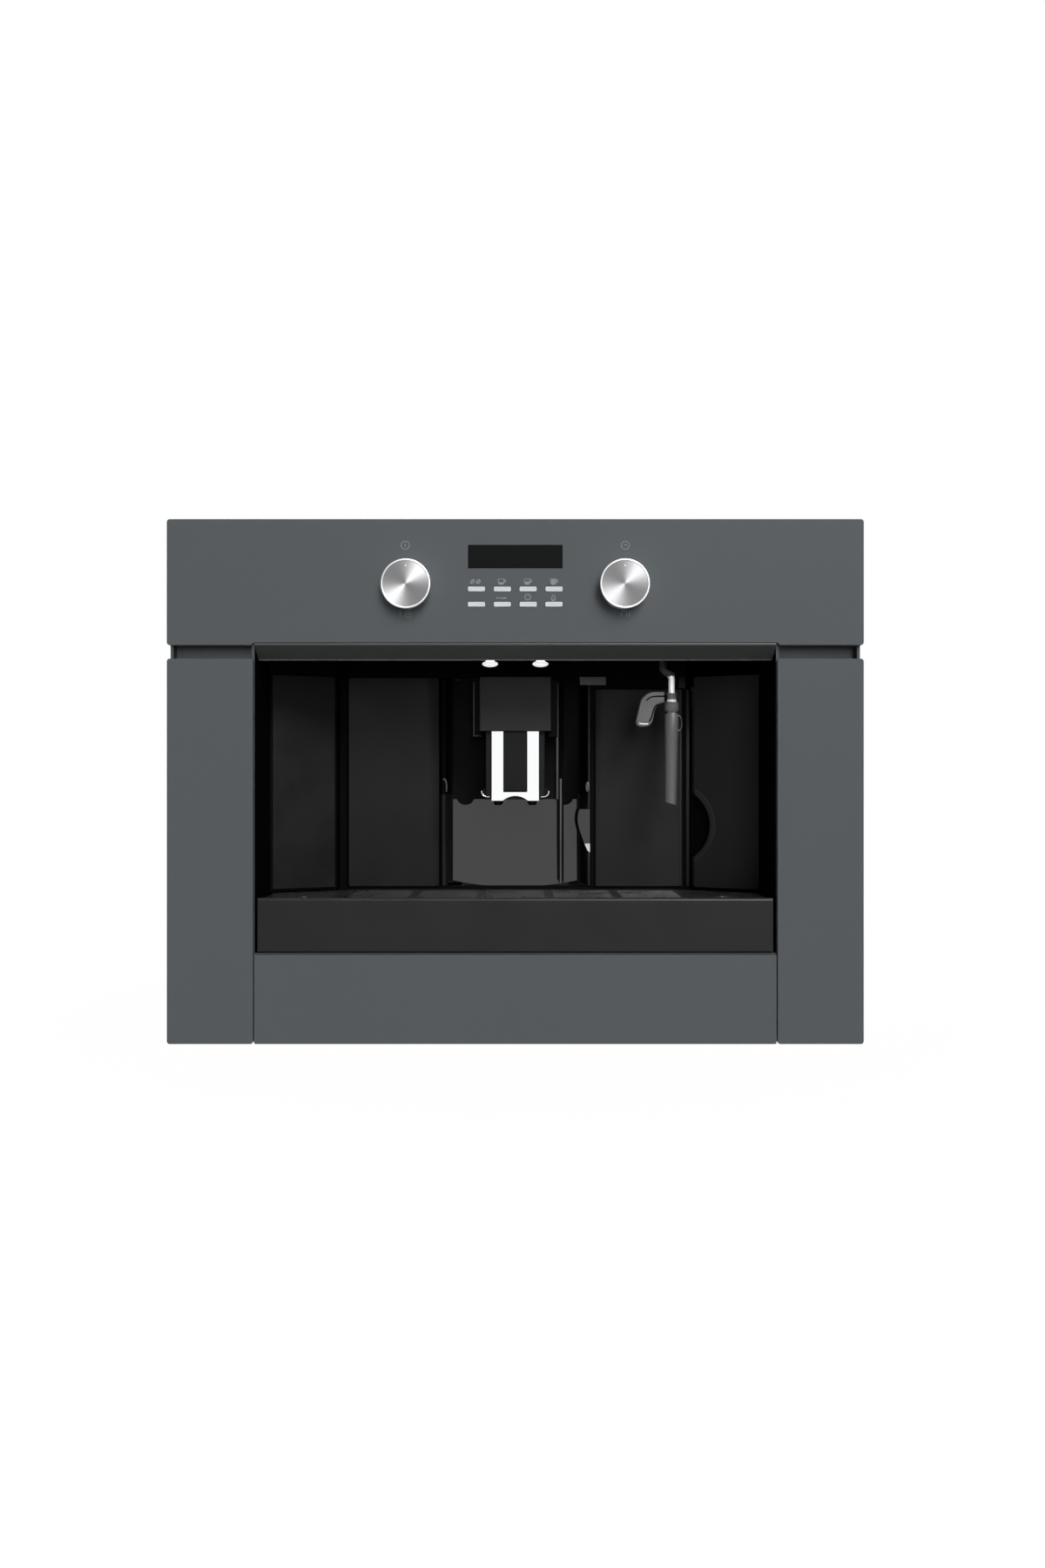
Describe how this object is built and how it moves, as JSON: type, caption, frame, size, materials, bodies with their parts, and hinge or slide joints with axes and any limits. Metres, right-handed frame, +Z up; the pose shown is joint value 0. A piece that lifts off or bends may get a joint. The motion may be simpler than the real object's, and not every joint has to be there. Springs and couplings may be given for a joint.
{
  "type": "built-in coffee machine",
  "caption": "Built-in coffee machine on pull-out rails, with drip tray, height-adjustable spout, steam wand, water tank and bean hopper.",
  "frame": {"origin": "middle of the footprint of the whole machine, at the height of the front's lower edge", "axes": "+Z up, the front faces -Y, +X to the right as seen from in front"},
  "size_m": [0.595, 0.4324, 0.448],
  "materials": {
    "front_glass": "back-painted, satin",
    "black_moulding": "fine grain",
    "dark_moulding": "satin",
    "satin_panel": "satin",
    "gloss_black": "polished",
    "chrome": "polished",
    "spun_metal": "turned rings",
    "zinc_steel": "zinc plated",
    "key_caps": "satin",
    "smoked_clear": "clear, smoked",
    "lamp_lens": "opal",
    "wand_plastic": "satin",
    "circuit_board": "solder mask",
    "float_red": "plain",
    "boiler_brass": "turned",
    "white_plastic": "plain"
  },
  "bodies": {
    "cabinet_rails": {"rail_outer_left": "zinc_steel", "rail_outer_right": "zinc_steel"},
    "rail_slides": {"rail_middle_left": "zinc_steel", "rail_middle_right": "zinc_steel"},
    "machine": {"rail_inner_left": "zinc_steel", "rail_inner_right": "zinc_steel", "chassis_base": "zinc_steel", "top_cover": "zinc_steel", "side_cover_left": "zinc_steel", "side_cover_right": "zinc_steel", "rear_cover": "zinc_steel", "front_frame": "black_moulding", "control_fascia": "front_glass", "side_fascia_left": "front_glass", "side_fascia_right": "front_glass", "lower_fascia": "front_glass", "display_window": "gloss_black", "hood_lip": "dark_moulding", "alcove_liner": "black_moulding", "wing_panel_left": "satin_panel", "back_panel_left": "satin_panel", "back_panel_right": "satin_panel", "lamp_left": "lamp_lens", "lamp_right": "lamp_lens", "grounds_bin": "satin_panel", "brew_unit": "white_plastic", "boiler": "boiler_brass", "pump": "black_moulding", "grinder": "black_moulding", "bean_hopper": "smoked_clear", "control_board": "circuit_board", "power_inlet": "black_moulding", "wand_socket": "satin_panel", "service_shelf": "zinc_steel"},
    "drip_tray": {"tray_front": "dark_moulding", "tray_tub": "satin_panel"},
    "cup_grid": {"cup_grid": "dark_moulding"},
    "tray_float": {"tray_float": "float_red"},
    "service_door": {"service_door": "gloss_black", "spout_housing": "satin_panel"},
    "coffee_spout": {"spout_body": "dark_moulding", "spout_trim": "chrome"},
    "steam_wand": {"steam_tube": "chrome", "wand_grip": "wand_plastic", "nozzle_sleeve": "wand_plastic"},
    "selector_knob": {"knob_left": "spun_metal"},
    "steam_knob": {"knob_right": "spun_metal"},
    "water_tank": {"water_tank": "smoked_clear", "tank_front": "satin_panel"},
    "hopper_lid": {"hopper_lid": "smoked_clear"},
    "funnel_lid": {"funnel_lid": "black_moulding"},
    "grind_dial": {"grind_dial": "black_moulding"},
    "key_1": {"key_1": "key_caps"},
    "key_2": {"key_2": "key_caps"},
    "key_3": {"key_3": "key_caps"},
    "key_4": {"key_4": "key_caps"},
    "key_5": {"key_5": "key_caps"},
    "key_6": {"key_6": "key_caps"},
    "key_7": {"key_7": "key_caps"},
    "key_8": {"key_8": "key_caps"}
  },
  "joints": [
    {"name": "machine_pull", "type": "slide", "parent": "cabinet_rails", "child": "machine", "axis": [0, -1, 0], "range_m": [0, 0.3]},
    {"name": "rail_extend", "type": "slide", "parent": "cabinet_rails", "child": "rail_slides", "axis": [0, -1, 0], "range_m": [0, 0.15]},
    {"name": "tray_pull", "type": "slide", "parent": "machine", "child": "drip_tray", "axis": [0, -1, 0], "range_m": [0, 0.285]},
    {"name": "grid_lift", "type": "slide", "parent": "drip_tray", "child": "cup_grid", "axis": [0, 0, 1], "range_m": [0, 0.05]},
    {"name": "float_rise", "type": "slide", "parent": "drip_tray", "child": "tray_float", "axis": [0, 0, 1], "range_m": [0, 0.006]},
    {"name": "door_swing", "type": "hinge", "parent": "machine", "child": "service_door", "pos_m": [-0.06745, -0.07715, 0.22], "axis": [0, 0, -1], "range_deg": [0, 90]},
    {"name": "spout_height", "type": "slide", "parent": "service_door", "child": "coffee_spout", "axis": [0, 0, 1], "range_m": [0, 0.038]},
    {"name": "wand_swivel", "type": "hinge", "parent": "machine", "child": "steam_wand", "pos_m": [0.1328, -0.13515, 0.32], "axis": [0, 0, 1], "range_deg": [-60, 60]},
    {"name": "selector_turn", "type": "hinge", "parent": "machine", "child": "selector_knob", "pos_m": [-0.092, -0.19515, 0.39], "axis": [0, 1, 0], "continuous": true},
    {"name": "steam_turn", "type": "hinge", "parent": "machine", "child": "steam_knob", "pos_m": [0.092, -0.19515, 0.39], "axis": [0, 1, 0], "range_deg": [-90, 90]},
    {"name": "tank_pull", "type": "slide", "parent": "machine", "child": "water_tank", "axis": [0, -1, 0], "range_m": [0, 0.24]},
    {"name": "hopper_lid_hinge", "type": "hinge", "parent": "machine", "child": "hopper_lid", "pos_m": [-0.092, 0.12875, 0.417], "axis": [-1, 0, 0], "range_deg": [0, 100]},
    {"name": "funnel_lid_hinge", "type": "hinge", "parent": "machine", "child": "funnel_lid", "pos_m": [0.058, 0.09575, 0.4142], "axis": [-1, 0, 0], "range_deg": [0, 100]},
    {"name": "grind_turn", "type": "hinge", "parent": "machine", "child": "grind_dial", "pos_m": [0.03, 0.16715, 0.415], "axis": [0, 0, 1], "range_deg": [-135, 135]},
    {"name": "key_1_press", "type": "slide", "parent": "machine", "child": "key_1", "axis": [0, 1, 0], "range_m": [0, 0.0007], "stiffness_N_per_m": 600, "springref_m": -0.0005},
    {"name": "key_2_press", "type": "slide", "parent": "machine", "child": "key_2", "axis": [0, 1, 0], "range_m": [0, 0.0007], "stiffness_N_per_m": 600, "springref_m": -0.0005},
    {"name": "key_3_press", "type": "slide", "parent": "machine", "child": "key_3", "axis": [0, 1, 0], "range_m": [0, 0.0007], "stiffness_N_per_m": 600, "springref_m": -0.0005},
    {"name": "key_4_press", "type": "slide", "parent": "machine", "child": "key_4", "axis": [0, 1, 0], "range_m": [0, 0.0007], "stiffness_N_per_m": 600, "springref_m": -0.0005},
    {"name": "key_5_press", "type": "slide", "parent": "machine", "child": "key_5", "axis": [0, 1, 0], "range_m": [0, 0.0007], "stiffness_N_per_m": 600, "springref_m": -0.0005},
    {"name": "key_6_press", "type": "slide", "parent": "machine", "child": "key_6", "axis": [0, 1, 0], "range_m": [0, 0.0007], "stiffness_N_per_m": 600, "springref_m": -0.0005},
    {"name": "key_7_press", "type": "slide", "parent": "machine", "child": "key_7", "axis": [0, 1, 0], "range_m": [0, 0.0007], "stiffness_N_per_m": 600, "springref_m": -0.0005},
    {"name": "key_8_press", "type": "slide", "parent": "machine", "child": "key_8", "axis": [0, 1, 0], "range_m": [0, 0.0007], "stiffness_N_per_m": 600, "springref_m": -0.0005}
  ],
  "couplings": [
    {"joint": "rail_extend", "follows": "machine_pull", "ratio": 0.5}
  ]
}
